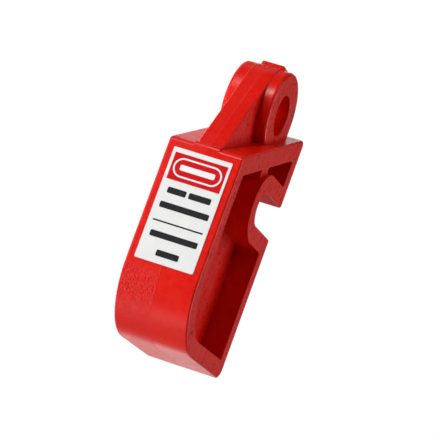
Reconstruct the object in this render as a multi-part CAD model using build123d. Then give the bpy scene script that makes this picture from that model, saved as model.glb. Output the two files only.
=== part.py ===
from build123d import *
import math
import os

# Red nylon lockout block: two tray-shaped half mouldings joined on the middle
# plane, with a hook slot at the back, a padlock lug on top and a printed label
# on the front.
#
# Millimetres.  X is the width, -Y is the labelled front, +Z is up.  The origin
# is the middle of the footprint, on the plane that the foot stands on.

# ---- body -------------------------------------------------------------------
body_width = 17.0
body_depth = 39.5
front_height = 42.35
top_slope = 21.1
wall = 3.9
top_wall = 4.2
web_thickness = 5.8
nose_radius = 14.7
heel_radius = 2.6
front_corner_radius = 1.2
back_corner_radius = 1.3
pocket_corner_radius = 0.8
edge_radius = 0.45

# ---- hook slot, open at the back ---------------------------------------------
slot_height = 7.5
slot_depth = 17.3
slot_floor_height = 33.45
slot_wall = 4.1
slot_lip_radius = 0.7
bridge_width = 4.6
bridge_offset = 1.5
bridge_recess = 1.1

# ---- padlock lug --------------------------------------------------------------
hole_radius = 4.6
hole_from_back = 14.1
hole_above_top_face = 5.9
cheek_radius = 9.7
cheek_span = 11.2
cheek_edge_radius = 0.7
arm_radius = 9.8
arm_width = 5.8
arm_edge_radius = 0.3
arm_foot_setback = 1.7
arm_toe_height = 0.45
hole_edge_radius = 0.3
stop_rib_height = 0.9
stop_rib_length = 3.0
stop_rib_setback = 1.0
stop_rib_edge_radius = 0.6

# ---- pegs that line the halves up ---------------------------------------------
peg_radius = 1.5
peg_length = 1.6
peg_inset = 8.0
peg_clearance = 0.05
peg_end_clearance = 0.3

# ---- label --------------------------------------------------------------------
label_width = 13.5
label_height = 25.0
label_thickness = 0.15
label_below_edge = 1.95
label_corner_radius = 0.25

# ---- places worked out from the sizes above -----------------------------------
slope = math.radians(top_slope)
half_width = body_width / 2
front_y = -body_depth / 2
back_y = body_depth / 2
slot_radius = slot_height / 2
slot_mid_z = slot_floor_height + slot_radius
slot_end_y = back_y - slot_depth + slot_radius
hole_y = back_y - hole_from_back


def top_face_z(y):
    """Height of the sloping top face at depth y."""
    return front_height + (y - front_y) * math.tan(slope)


def ceiling_z(y):
    """Height of the underside of the top wall at depth y."""
    return top_face_z(y) - top_wall / math.cos(slope)


hole_z = top_face_z(hole_y) + hole_above_top_face / math.cos(slope)


def nearest(shape, y, z):
    """The corner of a side-view sketch that lies nearest to (y, z)."""
    return min(shape.vertices(), key=lambda v: math.hypot(v.Y - y, v.Z - z))


def side_polygon(points):
    """A filled outline drawn in the side view, from (y, z) corners."""
    return Plane.YZ * make_face(Polyline(*points, close=True))


def side_circle(y, z, radius):
    return Plane.YZ * Pos(y, z) * Circle(radius)


def slab(sketch, start_x, end_x):
    """A side-view sketch given thickness from start_x to end_x."""
    return extrude(Pos(start_x, 0, 0) * sketch, amount=end_x - start_x, dir=(1, 0, 0))


def round_corner(shape, y, z, radius):
    return fillet(nearest(shape, y, z), radius)


# ---- side-view outlines -------------------------------------------------------
def slot_outline(margin):
    """The round-ended hook slot, grown by margin, running out past the back."""
    radius = slot_radius + margin
    length = back_y + radius - slot_end_y
    straight = Plane.YZ * Pos(slot_end_y + length / 2, slot_mid_z) * Rectangle(length, 2 * radius)
    return side_circle(slot_end_y, slot_mid_z, radius) + straight


def body_outline():
    """Outside of the body, with the hook slot cut in from the back."""
    outline = side_polygon([
        (front_y, 0),
        (back_y, 0),
        (back_y, top_face_z(back_y)),
        (front_y, front_height),
    ])
    outline = round_corner(outline, front_y, 0, nose_radius)
    outline = round_corner(outline, back_y, 0, heel_radius)
    outline = round_corner(outline, front_y, front_height, front_corner_radius)
    outline = round_corner(outline, back_y, top_face_z(back_y), back_corner_radius)
    outline = outline - slot_outline(0)
    for z in (slot_floor_height, slot_floor_height + slot_height):
        outline = round_corner(outline, back_y, z, slot_lip_radius)
    return outline


def pocket_outlines():
    """The two hollows in each side: what the walls and the slot's wall leave open."""
    front = front_y + wall
    back = back_y - wall
    hollow = side_polygon([
        (front, wall),
        (back, wall),
        (back, ceiling_z(back)),
        (front, ceiling_z(front)),
    ])
    hollow = round_corner(hollow, front, wall, nose_radius - wall)
    for y, z in ((back, wall), (back, ceiling_z(back)), (front, ceiling_z(front))):
        hollow = round_corner(hollow, y, z, pocket_corner_radius)
    hollow = hollow - slot_outline(slot_wall)
    for z in (slot_mid_z - slot_radius - slot_wall, slot_mid_z + slot_radius + slot_wall):
        hollow = round_corner(hollow, back, z, pocket_corner_radius)
    return hollow


def bridge_outline():
    """The rib that ties the slot's wall to the top wall where they come closest."""
    reach = slot_radius + slot_wall
    contact_y = slot_end_y - reach * math.sin(slope)
    contact_z = slot_mid_z + reach * math.cos(slope)
    middle = Pos(contact_y - bridge_offset, contact_z) * Rot(0, 0, top_slope)
    return Plane.YZ * middle * Rectangle(bridge_width, reach)


def cheek_outline():
    """One round ear of the lug, squared off down its back."""
    square = Pos(hole_y + cheek_radius / 2, hole_z - cheek_radius / 2) * Rectangle(cheek_radius, cheek_radius)
    return side_circle(hole_y, hole_z, cheek_radius) + Plane.YZ * square


def arm_outline():
    """The slanted arm between the ears, tangent to its own round top."""
    foot_y = front_y + arm_foot_setback
    foot_z = top_face_z(foot_y)
    reach = math.hypot(hole_y - foot_y, hole_z - foot_z)
    heading = math.atan2(hole_z - foot_z, hole_y - foot_y) + math.asin(arm_radius / reach)
    tangent_length = math.sqrt(reach ** 2 - arm_radius ** 2)
    tangent_y = foot_y + tangent_length * math.cos(heading)
    tangent_z = foot_z + tangent_length * math.sin(heading)
    root = top_wall / 2
    wedge = side_polygon([
        (foot_y, foot_z),
        (tangent_y, tangent_z),
        (hole_y, hole_z),
        (hole_y, top_face_z(hole_y) - root),
        (foot_y + root, top_face_z(foot_y + root) - root),
    ])
    return wedge + side_circle(hole_y, hole_z, arm_radius)


def arm_toe_outline():
    """The arm's toe, a low step on the top face that runs out to the front."""
    rear_y = front_y + 2 * arm_foot_setback
    outline = side_polygon([
        (front_y, front_height - front_corner_radius),
        (front_y, front_height + arm_toe_height),
        (rear_y, top_face_z(rear_y) + arm_toe_height),
        (rear_y, top_face_z(rear_y) - front_corner_radius),
    ])
    return round_corner(outline, front_y, front_height + arm_toe_height, front_corner_radius)


def stop_rib_outline():
    """The low rib that stands up across the arm's round top."""
    start_y = hole_y - stop_rib_setback
    end_y = start_y + stop_rib_length
    top_z = hole_z + arm_radius + stop_rib_height
    return side_polygon([(start_y, hole_z), (end_y, hole_z), (end_y, top_z), (start_y, top_z)])


def underside_outline():
    """All that lies below the top wall, kept clear of the lug's root."""
    return side_polygon([
        (front_y, 0),
        (back_y, 0),
        (back_y, ceiling_z(back_y)),
        (front_y, ceiling_z(front_y)),
    ])


# ---- solids -------------------------------------------------------------------
def rounded_slab(sketch, end_x, radius):
    """A slab from the middle plane out to end_x, with its outer rim rounded."""
    solid = slab(sketch, 0, end_x)
    rim = solid.faces().sort_by(Axis.X)[-1].edges()
    return fillet(rim, radius)


def lug_half():
    """An ear and half of the arm, with half of the padlock hole still to cut."""
    ear = rounded_slab(cheek_outline(), cheek_span / 2, cheek_edge_radius)
    arm = rounded_slab(arm_outline(), arm_width / 2, arm_edge_radius)
    toe = slab(arm_toe_outline(), 0, arm_width / 2)
    rib = rounded_slab(stop_rib_outline(), arm_width / 2, stop_rib_edge_radius)
    return ear + arm + toe + rib - slab(underside_outline(), 0, half_width)


def padlock_hole():
    """The straight part of the padlock hole in one half."""
    return slab(side_circle(hole_y, hole_z, hole_radius), 0, cheek_span / 2)


def with_round_mouth(half):
    """The half with the outer mouth of its padlock hole rounded over."""
    rims = half.edges().filter_by(GeomType.CIRCLE)
    outer_rims = rims.filter_by_position(Axis.X, cheek_span / 2, cheek_span / 2)
    mouth = outer_rims.sort_by(lambda rim: abs(rim.radius - hole_radius))[0]
    return fillet(mouth, hole_edge_radius)


def half_moulding():
    """The half on the +X side: web, walls, bridge, ear and half of the arm."""
    web_face = web_thickness / 2
    pockets = pocket_outlines()
    shell = rounded_slab(body_outline(), half_width, edge_radius)
    shell = shell - slab(pockets, web_face, half_width)
    bridge = slab(pockets & bridge_outline(), web_face, half_width - bridge_recess)
    return with_round_mouth(shell + bridge + lug_half() - padlock_hole())


def peg_places():
    """Side-view places of the three pegs, set in from the walls around them."""
    inset = wall + peg_inset
    return [
        (front_y + inset, inset),
        (back_y - inset, inset),
        (front_y + inset, front_height - inset),
    ]


def peg_set(radius, length):
    """Three round pegs that stand out of the middle plane towards +X."""
    pegs = [slab(side_circle(y, z, radius), 0, length) for y, z in peg_places()]
    return Compound(children=pegs)


def right_half():
    sockets = peg_set(peg_radius + peg_clearance, peg_length + peg_end_clearance)
    return half_moulding() - sockets


def left_half():
    return mirror(half_moulding(), about=Plane.YZ) + peg_set(peg_radius, peg_length)


def label():
    """The sticker on the flat part of the front."""
    middle_z = front_height - label_below_edge - label_height / 2
    front = Plane.XZ * RectangleRounded(label_width, label_height, label_corner_radius)
    return Pos(0, front_y, middle_z) * extrude(front, amount=label_thickness)


nodes = {
    "left_half": left_half(),
    "right_half": right_half(),
    "label": label(),
}

os.makedirs("parts", exist_ok=True)
for name, solid in nodes.items():
    export_step(solid, f"parts/{name}.step")
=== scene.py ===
import math

import bmesh
import bpy
from mathutils import Matrix, Vector

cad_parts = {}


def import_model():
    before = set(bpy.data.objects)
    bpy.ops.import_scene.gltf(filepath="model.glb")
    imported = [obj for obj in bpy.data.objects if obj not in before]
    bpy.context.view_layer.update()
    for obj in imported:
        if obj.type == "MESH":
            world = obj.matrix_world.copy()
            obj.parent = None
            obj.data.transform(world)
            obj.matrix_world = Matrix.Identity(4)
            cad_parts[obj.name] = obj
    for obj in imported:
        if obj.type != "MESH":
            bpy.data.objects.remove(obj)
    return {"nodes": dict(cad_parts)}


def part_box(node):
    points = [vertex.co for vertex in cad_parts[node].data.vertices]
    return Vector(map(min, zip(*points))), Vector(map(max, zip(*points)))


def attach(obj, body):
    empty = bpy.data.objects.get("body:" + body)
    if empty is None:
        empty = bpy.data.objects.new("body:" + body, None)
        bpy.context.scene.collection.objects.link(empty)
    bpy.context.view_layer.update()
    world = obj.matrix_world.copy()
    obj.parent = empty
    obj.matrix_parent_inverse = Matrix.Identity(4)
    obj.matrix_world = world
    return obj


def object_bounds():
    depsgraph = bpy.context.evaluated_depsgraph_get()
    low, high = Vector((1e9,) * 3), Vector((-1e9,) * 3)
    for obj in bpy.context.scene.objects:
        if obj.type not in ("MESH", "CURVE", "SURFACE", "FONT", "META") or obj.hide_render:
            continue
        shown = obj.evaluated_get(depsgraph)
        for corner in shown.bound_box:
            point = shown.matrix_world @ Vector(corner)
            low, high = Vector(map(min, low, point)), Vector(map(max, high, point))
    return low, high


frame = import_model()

# A red moulded lockout block: two nylon halves and a printed vinyl label.
# Everything is in metres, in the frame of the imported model.

MM = 0.001
BODY = "root"

cad_box = [list(corner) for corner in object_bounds()]

# ---- camera -------------------------------------------------------------------
# The block is seen from its front right, from a little below, with the picture
# turned so that the block leans to the right.
VIEW_AZIMUTH = 17.29
VIEW_ELEVATION = -8.57
VIEW_ROLL = 20.03
VIEW_DISTANCE = 0.566
VIEW_LENS = 213.2
VIEW_SENSOR = 36.0
VIEW_CLIP = (0.01, 20.0)
VIEW_AIM = Vector((1.64, 1.07, 31.56)) * MM

# ---- studio -------------------------------------------------------------------
FLOOR_DROP = 0.75
FLOOR_SIZE = 6.0
FLOOR_ROUGHNESS = 0.8
FLOOR_GLOW = 0.9
AMBIENT = 0.10
BACKDROP = 1.0
LAMP_DISTANCE = 0.7
# name: azimuth, elevation, width, height, power
LAMPS = {
    "left": (-46, -4, 0.34, 0.8, 5.0),
    "key": (-23, 41, 0.14, 0.14, 2.0),
    "under": (-68, -53, 0.45, 0.4, 1.9),
    "left_above": (-120, 45, 0.4, 0.4, 0.7),
    "back_left": (-157, 13, 0.6, 0.5, 1.9),
    "back_below": (-172, -27, 0.6, 0.3, 0.9),
    "back_right": (124, 2, 0.5, 0.4, 2.25),
    "right_above": (85, 38, 0.4, 0.4, 1.1),
}

# ---- shine and colours (linear) -----------------------------------------------
NYLON_IOR = 1.5
NYLON_SPECULAR = 0.20
VINYL_SPECULAR = 0.30
INK_SPECULAR = 0.15
NYLON_RED = (0.71, 0.008, 0.002)
NYLON_RED_DEEP = (0.65, 0.005, 0.001)
# pale pink of rubbed edges, scuffs and flash; on edges and flash it is partly painted highlight
NYLON_PALE_WEAR_AND_HIGHLIGHT = (0.74, 0.040, 0.026)
# dark red put in the nicks: painted shade in the dents
NYLON_NICK_SHADE = (0.22, 0.006, 0.004)
VINYL_WHITE = (0.785, 0.785, 0.77)
VINYL_HANDLED = (0.74, 0.745, 0.74)
INK_RED = (0.58, 0.0, 0.003)
INK_RED_THIN = (0.66, 0.002, 0.006)
INK_BLACK = (0.012, 0.012, 0.014)
INK_BLACK_THIN = (0.05, 0.05, 0.055)
INK_WHITE = (0.82, 0.82, 0.82)
INK_WHITE_THIN = (0.80, 0.70, 0.70)
FLOOR_WHITE = (0.86, 0.86, 0.85)
FLOOR_GREY = (0.84, 0.84, 0.835)

# ---- label surface, in millimetres ----------------------------------------------
VINYL_PEEL = 0.006
INK_TOOTH = 0.004

# ---- hook slot, in millimetres --------------------------------------------------
SLOT_MIDDLE_Z = 37.2
SLOT_HALF_HEIGHT = 3.75
SLOT_FRONT_Y = 2.4
SLOT_FADE = 0.15
SLOT_ROUGHER = 0.5

# ---- nylon surface, in millimetres ----------------------------------------------
# Noise scales are in turns per millimetre.
MOTTLE_SCALE = 0.11
CLOUD_SCALE = 0.55
CLOUD_SHARE = 0.4
CLOUD_ROUGHER = 0.04
GRAIN_ROUGHER = 0.05
FLOW_STRETCH = (4.0, 4.0, 0.5)
FLOW_SHARE = 0.5
SCUFF_AXIS = (1.0, 0.3, 0.1)
SCUFF_LEAN = 0.5
SCUFF_STRETCH = (2.2, 2.2, 0.16)
SCUFF_RARITY_SCALE = 0.16
SCUFF_PALER = 0.25
SCUFF_ROUGHER = 0.12
SCUFF_DEPTH = 0.008
FROST_TOP = 12.4
FROST_FADE = 2.2
FROST_FOOT = 7.0
FROST_FOOT_FADE = 5.0
FROST_RAGGED = 5.0
FROST_STRETCH = (2.4, 2.4, 1.8)
EDGE_BAND = 0.35
EDGE_SAMPLES = 8
EDGE_PATCH_SCALE = 1.3
EDGE_ROUGHER = 0.42
NICK_SCALE = 2.2
NICK_RAGGED = 1.2
NICK_CORE = 0.6
NICK_DEPTH = 0.35
# place and radius of each nick
NICKS = [
    ((5.6, 13.7, 61.9), 0.9),
    ((5.6, 14.1, 60.3), 0.9),
    ((5.6, 15.0, 61.2), 0.8),
    ((8.5, -12.0, 4.7), 0.6),
]


class Nodes:
    """Short calls for adding shader nodes and joining them."""

    def __init__(self, name):
        self.material = bpy.data.materials.new(name)
        self.material.use_nodes = True
        self.tree = self.material.node_tree
        self.shader = self.tree.nodes["Principled BSDF"]

    def add(self, kind, inputs=None, **settings):
        node = self.tree.nodes.new("ShaderNode" + kind)
        for key, value in settings.items():
            setattr(node, key, value)
        for key, value in (inputs or {}).items():
            self.feed(node, key, value)
        return node

    def feed(self, node, key, value):
        if isinstance(value, bpy.types.NodeSocket):
            self.tree.links.new(value, node.inputs[key])
        elif isinstance(value, (tuple, list)) and node.inputs[key].type == "RGBA":
            node.inputs[key].default_value = (*value[:3], 1.0)
        else:
            node.inputs[key].default_value = value

    def millimetres(self):
        """Position on the piece, in millimetres."""
        place = self.add("TexCoord").outputs["Object"]
        return self.add("VectorMath", {0: place, "Scale": 1 / MM}, operation="SCALE").outputs["Vector"]

    def noise(self, place, scale, detail=2.0, roughness=0.5):
        inputs = {"Vector": place, "Scale": scale, "Detail": detail, "Roughness": roughness}
        return self.add("TexNoise", inputs).outputs["Fac"]

    def stretched(self, place, factors):
        """The same place with each axis multiplied, so that noise in it comes out stretched."""
        return self.add("VectorMath", {0: place, 1: factors}, operation="MULTIPLY").outputs["Vector"]

    def apart(self, vector):
        """The X, Y and Z of a vector."""
        return self.add("SeparateXYZ", {"Vector": vector}).outputs

    def scratches(self, place):
        """1 on a few fine handling scratches that lean along the block, 0 elsewhere."""
        turn = {"Vector": place, "Axis": SCUFF_AXIS, "Angle": SCUFF_LEAN}
        leaning = self.add("VectorRotate", turn, rotation_type="AXIS_ANGLE").outputs["Vector"]
        lines = self.noise(self.stretched(leaning, SCUFF_STRETCH), 1.0)
        rare = self.ramp(self.noise(place, SCUFF_RARITY_SCALE, detail=1.0), 0.55, 0.66)
        return self.maths("MULTIPLY", self.ramp(lines, 0.64, 0.70), rare)

    def on_nose(self, place, cloud):
        """1 on the coarse-grained patch below the label, fading out round the nose and to the sides."""
        height = self.apart(place)["Z"]
        ragged = self.maths("ADD", height, self.maths("MULTIPLY", cloud, FROST_RAGGED))
        upper = self.ramp(height, FROST_TOP + FROST_FADE, FROST_TOP)
        lower = self.ramp(ragged, FROST_FOOT, FROST_FOOT + FROST_FOOT_FADE)
        facing = self.apart(self.add("TexCoord").outputs["Normal"])["Y"]
        forward = self.ramp(facing, -0.3, -0.7)
        return self.maths("MULTIPLY", self.maths("MULTIPLY", upper, lower), forward)

    def marks(self, place):
        """1 in the few small nicks that a used block carries, 0 elsewhere: they are dented, and darkened
        with painted shade.
        """
        total = 0.0
        noise = self.add("TexNoise", {"Vector": place, "Scale": NICK_SCALE, "Detail": 3.0})
        ragged = self.stretched(noise.outputs["Color"], (NICK_RAGGED, NICK_RAGGED, NICK_RAGGED))
        shifted = self.add("VectorMath", {0: place, 1: ragged}, operation="ADD").outputs["Vector"]
        for centre, radius in NICKS:
            centre = [value + NICK_RAGGED / 2 for value in centre]
            away = self.add("VectorMath", {0: shifted, 1: centre}, operation="DISTANCE").outputs["Value"]
            total = self.maths("ADD", total, self.ramp(away, radius, radius * NICK_CORE))
        return self.maths("MINIMUM", total, 1.0)

    def in_slot(self, place):
        """1 on the faces of the hook slot, where the mould was left unpolished."""
        axes = self.apart(place)
        off_middle = self.maths("ABSOLUTE", self.maths("SUBTRACT", axes["Z"], SLOT_MIDDLE_Z))
        level = self.ramp(off_middle, SLOT_HALF_HEIGHT + SLOT_FADE, SLOT_HALF_HEIGHT)
        behind = self.ramp(axes["Y"], SLOT_FRONT_Y - 2 * SLOT_FADE, SLOT_FRONT_Y)
        return self.maths("MULTIPLY", level, behind)

    def ramp(self, value, low, high, out_low=0.0, out_high=1.0):
        """value between low and high, carried over to out_low and out_high."""
        ends = {"From Min": low, "From Max": high, "To Min": out_low, "To Max": out_high}
        return self.add("MapRange", {"Value": value, **ends}, clamp=True).outputs["Result"]

    def maths(self, operation, first, second=0.0):
        return self.add("Math", {0: first, 1: second}, operation=operation).outputs["Value"]

    def mix(self, factor, first, second):
        node = self.add("Mix", {"Factor": factor}, data_type="RGBA")
        self.feed(node, 6, first)
        self.feed(node, 7, second)
        return node.outputs[2]

    def bump(self, height, distance):
        return self.add("Bump", {"Height": height, "Distance": distance}).outputs["Normal"]

    def edges(self, radius):
        """1 along sharp and rounded edges, 0 on flats, over a band of that radius."""
        rounded = self.add("Bevel", {"Radius": radius}, samples=EDGE_SAMPLES).outputs["Normal"]
        flat = self.add("NewGeometry").outputs["Normal"]
        alike = self.add("VectorMath", {0: rounded, 1: flat}, operation="DOT_PRODUCT").outputs["Value"]
        return self.ramp(alike, 0.995, 0.80)


def nylon(name, grain, grain_scale, roughness, frost=0.0, reds=(NYLON_RED_DEEP, NYLON_RED)):
    """Moulded red nylon: mottled pigment, moulded grain, flow marks, scuffs, nicks darkened with painted
    shade, and pale edges that are partly rubbing and partly painted highlight.

    grain and frost are depths in millimetres: of the grain all over, and of the coarse grain on
    the nose below the label.
    """
    n = Nodes(name)

    def more(total, mask, amount, operation="ADD"):
        """total, with amount added or taken away where the mask is 1."""
        return n.maths(operation, total, n.maths("MULTIPLY", mask, amount))

    place = n.millimetres()
    cloud = n.noise(place, CLOUD_SCALE)
    fine = n.noise(place, grain_scale, detail=3.0, roughness=0.6)
    flow = n.noise(n.stretched(place, FLOW_STRETCH), 1.0)
    edges = n.edges(EDGE_BAND * MM)
    scuffs = n.scratches(place)
    nicks = n.marks(place)

    tone = more(n.noise(place, MOTTLE_SCALE, detail=3.0), cloud, CLOUD_SHARE)
    pigment = n.mix(n.ramp(tone, 0.55, 0.85), *reds)
    patchy = n.ramp(n.noise(place, EDGE_PATCH_SCALE, detail=4.0), 0.38, 0.66, 0.1, 0.6)
    # paler along the edges: partly rubbing, partly painted highlight
    edge_wear_and_highlight = n.maths("MULTIPLY", edges, patchy)
    paler = n.maths("MAXIMUM", edge_wear_and_highlight, n.maths("MULTIPLY", scuffs, SCUFF_PALER))
    # darker in the nicks: painted shade
    colour = n.mix(nicks, n.mix(paler, pigment, NYLON_PALE_WEAR_AND_HIGHLIGHT), NYLON_NICK_SHADE)

    rough = n.maths("ADD", n.ramp(fine, 0.3, 0.7, roughness - GRAIN_ROUGHER, roughness + GRAIN_ROUGHER),
                    n.ramp(cloud, 0.3, 0.7, -CLOUD_ROUGHER, CLOUD_ROUGHER))
    rough = more(rough, n.in_slot(place), SLOT_ROUGHER)
    rough = more(rough, edges, EDGE_ROUGHER)
    rough = more(rough, scuffs, SCUFF_ROUGHER)

    height = n.maths("MULTIPLY", more(fine, flow, FLOW_SHARE), grain)
    height = more(height, scuffs, SCUFF_DEPTH, "SUBTRACT")
    height = more(height, nicks, NICK_DEPTH, "SUBTRACT")
    if frost:
        coarse = n.noise(n.stretched(place, FROST_STRETCH), 1.0, detail=3.0, roughness=0.65)
        height = more(height, coarse, n.maths("MULTIPLY", n.on_nose(place, cloud), frost))

    n.feed(n.shader, "Base Color", colour)
    n.feed(n.shader, "Roughness", rough)
    n.feed(n.shader, "Normal", n.bump(height, MM))
    n.shader.inputs["IOR"].default_value = NYLON_IOR
    n.shader.inputs["Specular IOR Level"].default_value = NYLON_SPECULAR
    return n.material


def vinyl(name):
    """White label stock: a faint orange-peel gloss with greyish handling marks."""
    n = Nodes(name)
    place = n.millimetres()
    handling = n.ramp(n.noise(place, 0.35, detail=4.0), 0.35, 0.75)
    n.feed(n.shader, "Base Color", n.mix(handling, VINYL_WHITE, VINYL_HANDLED))
    n.feed(n.shader, "Roughness", n.ramp(n.noise(place, 2.5), 0.3, 0.7, 0.34, 0.46))
    n.feed(n.shader, "Normal", n.bump(n.noise(place, 1.6), VINYL_PEEL * MM))
    n.shader.inputs["Specular IOR Level"].default_value = VINYL_SPECULAR
    return n.material


def ink(name, colour, thin):
    """Screen ink on vinyl: slightly uneven cover, a little rougher than the stock."""
    n = Nodes(name)
    place = n.millimetres()
    cover = n.noise(place, 3.2, detail=4.0)
    n.feed(n.shader, "Base Color", n.mix(n.ramp(cover, 0.45, 0.8, 0.0, 0.35), colour, thin))
    n.feed(n.shader, "Roughness", n.ramp(cover, 0.3, 0.7, 0.36, 0.50))
    n.feed(n.shader, "Normal", n.bump(n.noise(place, 9.0), INK_TOOTH * MM))
    n.shader.inputs["Specular IOR Level"].default_value = INK_SPECULAR
    return n.material


def wear(node, material):
    """Gives a CAD node its finished material."""
    slots = node.data.materials
    slots.clear()
    slots.append(material)


frosted = nylon("nylon_frosted", grain=0.020, grain_scale=2.6, roughness=0.37, frost=0.27)
plain = nylon("nylon_plain", grain=0.014, grain_scale=3.0, roughness=0.30)
# the bead's paler red: partly thin flash, partly painted highlight along the ridge
flash = nylon("nylon_flash", grain=0.010, grain_scale=3.0, roughness=0.34, reds=(NYLON_RED, NYLON_PALE_WEAR_AND_HIGHLIGHT))
wear(frame["nodes"]["left_half"], frosted)
wear(frame["nodes"]["right_half"], plain)
wear(frame["nodes"]["label"], vinyl("label_vinyl"))


# ---- label print --------------------------------------------------------------
# Thin layers of ink on the label's front.  Sizes are in millimetres from the
# middle of the label, across and up.
INK_THICKNESS = 0.02
CORNER_STEPS = 8

low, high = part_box("label")
label_front = low.y
label_middle = ((low.x + high.x) / 2, (low.z + high.z) / 2)


def rounded_loop(across, up, width, height, radius):
    """Corners of a rounded rectangle, anticlockwise as seen from the front."""
    radius = min(radius, width / 2, height / 2)
    points = []
    for corner, (sx, sz) in enumerate([(1, 1), (-1, 1), (-1, -1), (1, -1)]):
        cx = across + sx * (width / 2 - radius)
        cz = up + sz * (height / 2 - radius)
        for step in range(CORNER_STEPS + 1):
            turn = math.radians(90 * corner + 90 * step / CORNER_STEPS)
            points.append((cx + radius * math.cos(turn), cz + radius * math.sin(turn)))
    return points


def place_on_label(point, lift):
    x = label_middle[0] + point[0] * MM
    z = label_middle[1] + point[1] * MM
    return (x, label_front - lift * MM, z)


def add_plate(mesh, outline, layer, hole=None):
    """A thin printed area with a given outline, with an optional hole in it."""
    front = layer * INK_THICKNESS
    back = front - INK_THICKNESS
    rings = [[mesh.verts.new(place_on_label(p, lift)) for p in outline] for lift in (back, front)]
    if hole is None:
        mesh.faces.new(rings[1])
        mesh.faces.new(list(reversed(rings[0])))
        wall(mesh, rings[0], rings[1])
        return
    holes = [[mesh.verts.new(place_on_label(p, lift)) for p in hole] for lift in (back, front)]
    wall(mesh, rings[1], holes[1])
    wall(mesh, holes[0], rings[0])
    wall(mesh, rings[0], rings[1])
    wall(mesh, holes[1], holes[0])


def wall(mesh, first, second):
    """Faces that join two loops of the same number of corners."""
    count = len(first)
    for i in range(count):
        j = (i + 1) % count
        mesh.faces.new([first[i], first[j], second[j], second[i]])


def linked(name, data):
    """A new object that holds the data, put in the scene."""
    thing = bpy.data.objects.new(name, data)
    bpy.context.scene.collection.objects.link(thing)
    return thing


def as_piece(name, mesh, material):
    """Makes a finished mesh a piece that rides on the body."""
    bmesh.ops.recalc_face_normals(mesh, faces=mesh.faces)
    data = bpy.data.meshes.new(name)
    mesh.to_mesh(data)
    mesh.free()
    data.materials.append(material)
    piece = linked(name, data)
    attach(piece, BODY)


def printed(name, areas, material, layer=1):
    """One ink layer, as a piece made of plates."""
    mesh = bmesh.new()
    for area in areas:
        add_plate(mesh, area["outline"], layer, area.get("hole"))
    as_piece(name, mesh, material)


HEADER = {"across": 0.05, "up": 8.45, "width": 12.2, "height": 6.0, "radius": 0.12}
PILL = {"across": 0.05, "up": 8.5, "width": 11.1, "height": 4.3, "radius": 2.15}
PILL_LINE = 0.36
HEADER_BAR = {"across": 0.05, "up": 8.5, "width": 8.0, "height": 1.25, "radius": 0.3}
TEXT_BARS = [
    {"across": -2.75, "up": 3.2, "width": 4.3, "height": 1.35, "radius": 0.3},
    {"across": 2.55, "up": 3.2, "width": 5.1, "height": 1.35, "radius": 0.3},
    {"across": 0.2, "up": -0.15, "width": 11.3, "height": 1.35, "radius": 0.3},
    {"across": 0.05, "up": -3.7, "width": 11.5, "height": 0.34, "radius": 0.05},
    {"across": 0.15, "up": -6.55, "width": 10.9, "height": 1.35, "radius": 0.3},
    {"across": 0.1, "up": -10.3, "width": 5.2, "height": 1.35, "radius": 0.3},
]

inner_pill = dict(
    PILL,
    width=PILL["width"] - 2 * PILL_LINE,
    height=PILL["height"] - 2 * PILL_LINE,
    radius=PILL["radius"] - PILL_LINE,
)
red_ink = ink("ink_red", INK_RED, INK_RED_THIN)
black_ink = ink("ink_black", INK_BLACK, INK_BLACK_THIN)
white_ink = ink("ink_white", INK_WHITE, INK_WHITE_THIN)

printed("label_header", [{"outline": rounded_loop(**HEADER)}], red_ink)
printed("label_header_outline", [
    {"outline": rounded_loop(**PILL), "hole": rounded_loop(**inner_pill)},
    {"outline": rounded_loop(**HEADER_BAR)},
], white_ink, layer=2)
printed("label_bars", [{"outline": rounded_loop(**bar)} for bar in TEXT_BARS], black_ink)


# ---- parting line -------------------------------------------------------------
# A fine bead of flash where the two halves meet, below the label and round the nose.
BEAD_TOP = 15.2
BEAD_FOOT = 6.5
BEAD_WIDTH = 0.22
BEAD_HEIGHT = 0.07
BEAD_STEPS = 40
BEAD_TAPER = 3


def nose_point(z):
    """Where the right half's front is at height z, beside the middle plane, and the way it faces."""
    half = frame["nodes"]["right_half"]
    start = Vector((BEAD_WIDTH / 2 * MM, cad_box[0][1] - MM, z * MM))
    _, point, normal, _ = half.ray_cast(start, Vector((0, 1, 0)))
    return Vector((0, point.y, point.z)), Vector((0, normal.y, normal.z)).normalized()


def parting_bead():
    """The bead: a low ridge with a triangular section that tapers out at its lower end."""
    mesh = bmesh.new()
    rows = []
    for step in range(BEAD_STEPS + 1):
        share = step / BEAD_STEPS
        point, normal = nose_point(BEAD_TOP + (BEAD_FOOT - BEAD_TOP) * share)
        fade = 1 - share ** BEAD_TAPER
        side = Vector((BEAD_WIDTH / 2 * MM * fade, 0, 0))
        sunk = point - normal * BEAD_HEIGHT * MM
        crest = point + normal * BEAD_HEIGHT * MM * fade
        rows.append([mesh.verts.new(place) for place in (sunk - side, crest, sunk + side)])
    for above, below in zip(rows, rows[1:]):
        wall(mesh, above, below)
    mesh.faces.new(rows[0])
    mesh.faces.new(list(reversed(rows[-1])))
    as_piece("parting_bead", mesh, flash)


parting_bead()


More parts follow.
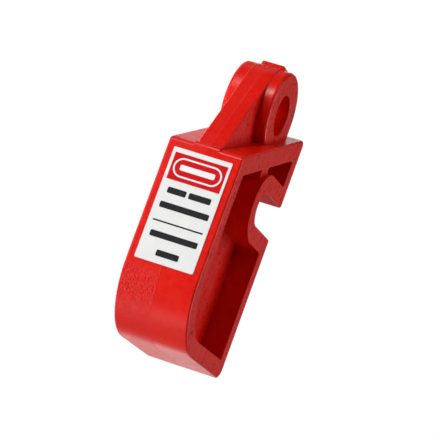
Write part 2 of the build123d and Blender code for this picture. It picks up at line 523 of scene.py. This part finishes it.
# ---- stage --------------------------------------------------------------------
def floor():
    """A plain pale floor, well below the block, that stays pale where no lamp reaches it."""
    half = FLOOR_SIZE / 2
    data = bpy.data.meshes.new("floor")
    corners = [(-half, -half, 0), (half, -half, 0), (half, half, 0), (-half, half, 0)]
    data.from_pydata(corners, [], [(0, 1, 2, 3)])
    piece = linked("floor", data)
    piece.location.z = -FLOOR_DROP
    n = Nodes("floor_white")
    tone = n.ramp(n.noise(n.millimetres(), 0.01), 0.3, 0.7)
    colour = n.mix(tone, FLOOR_WHITE, FLOOR_GREY)
    n.feed(n.shader, "Base Color", colour)
    n.shader.inputs["Roughness"].default_value = FLOOR_ROUGHNESS
    seen = n.add("Emission", {"Color": colour, "Strength": FLOOR_GLOW})
    rays = n.add("LightPath").outputs["Is Camera Ray"]
    choose = n.add("MixShader", {0: rays, 1: n.shader.outputs["BSDF"], 2: seen.outputs["Emission"]})
    n.tree.links.new(choose.outputs["Shader"], n.tree.nodes["Material Output"].inputs["Surface"])
    data.materials.append(n.material)


def softbox(name, azimuth, elevation, width, height, power):
    """A rectangular area light that faces the block's middle."""
    data = bpy.data.lights.new(name, "AREA")
    data.shape = "RECTANGLE"
    data.size = width
    data.size_y = height
    data.energy = power
    lamp = linked(name, data)
    out = bearing(azimuth, elevation)
    lamp.location = middle + out * LAMP_DISTANCE
    lamp.rotation_mode = "QUATERNION"
    lamp.rotation_quaternion = out.to_track_quat("Z", "Y")
    lamp.visible_camera = False


def bearing(azimuth, elevation):
    """Unit vector from the block towards a place seen at that azimuth and elevation."""
    a, e = math.radians(azimuth), math.radians(elevation)
    return Vector((math.sin(a) * math.cos(e), -math.cos(a) * math.cos(e), math.sin(e)))


def world():
    """Soft grey studio light, with a white background behind the block."""
    bpy.context.scene.world = bpy.data.worlds.new("studio")
    bpy.context.scene.world.use_nodes = True
    tree = bpy.context.scene.world.node_tree
    light = tree.nodes["Background"]
    backdrop = tree.nodes.new("ShaderNodeBackground")
    for shader, strength in ((light, AMBIENT), (backdrop, BACKDROP)):
        shader.inputs["Color"].default_value = (1.0, 1.0, 1.0, 1.0)
        shader.inputs["Strength"].default_value = strength
    rays = tree.nodes.new("ShaderNodeLightPath")
    choose = tree.nodes.new("ShaderNodeMixShader")
    tree.links.new(rays.outputs["Is Camera Ray"], choose.inputs["Fac"])
    tree.links.new(light.outputs["Background"], choose.inputs[1])
    tree.links.new(backdrop.outputs["Background"], choose.inputs[2])
    tree.links.new(choose.outputs["Shader"], tree.nodes["World Output"].inputs["Surface"])


def camera():
    data = bpy.data.cameras.new("camera")
    data.lens = VIEW_LENS
    data.sensor_width = VIEW_SENSOR
    data.clip_start, data.clip_end = VIEW_CLIP
    eye = linked("camera", data)
    out = bearing(VIEW_AZIMUTH, VIEW_ELEVATION)
    eye.rotation_mode = "QUATERNION"
    turn = Matrix.Rotation(math.radians(VIEW_ROLL), 3, out)
    level = out.to_track_quat("Z", "Y").to_matrix()
    eye.rotation_quaternion = (turn @ level).to_quaternion()
    eye.location = VIEW_AIM + out * VIEW_DISTANCE
    bpy.context.scene.camera = eye


middle = (Vector(cad_box[0]) + Vector(cad_box[1])) / 2
floor()
world()
for name, settings in LAMPS.items():
    softbox(name, *settings)
camera()
bpy.context.scene.view_settings.view_transform = "Standard"
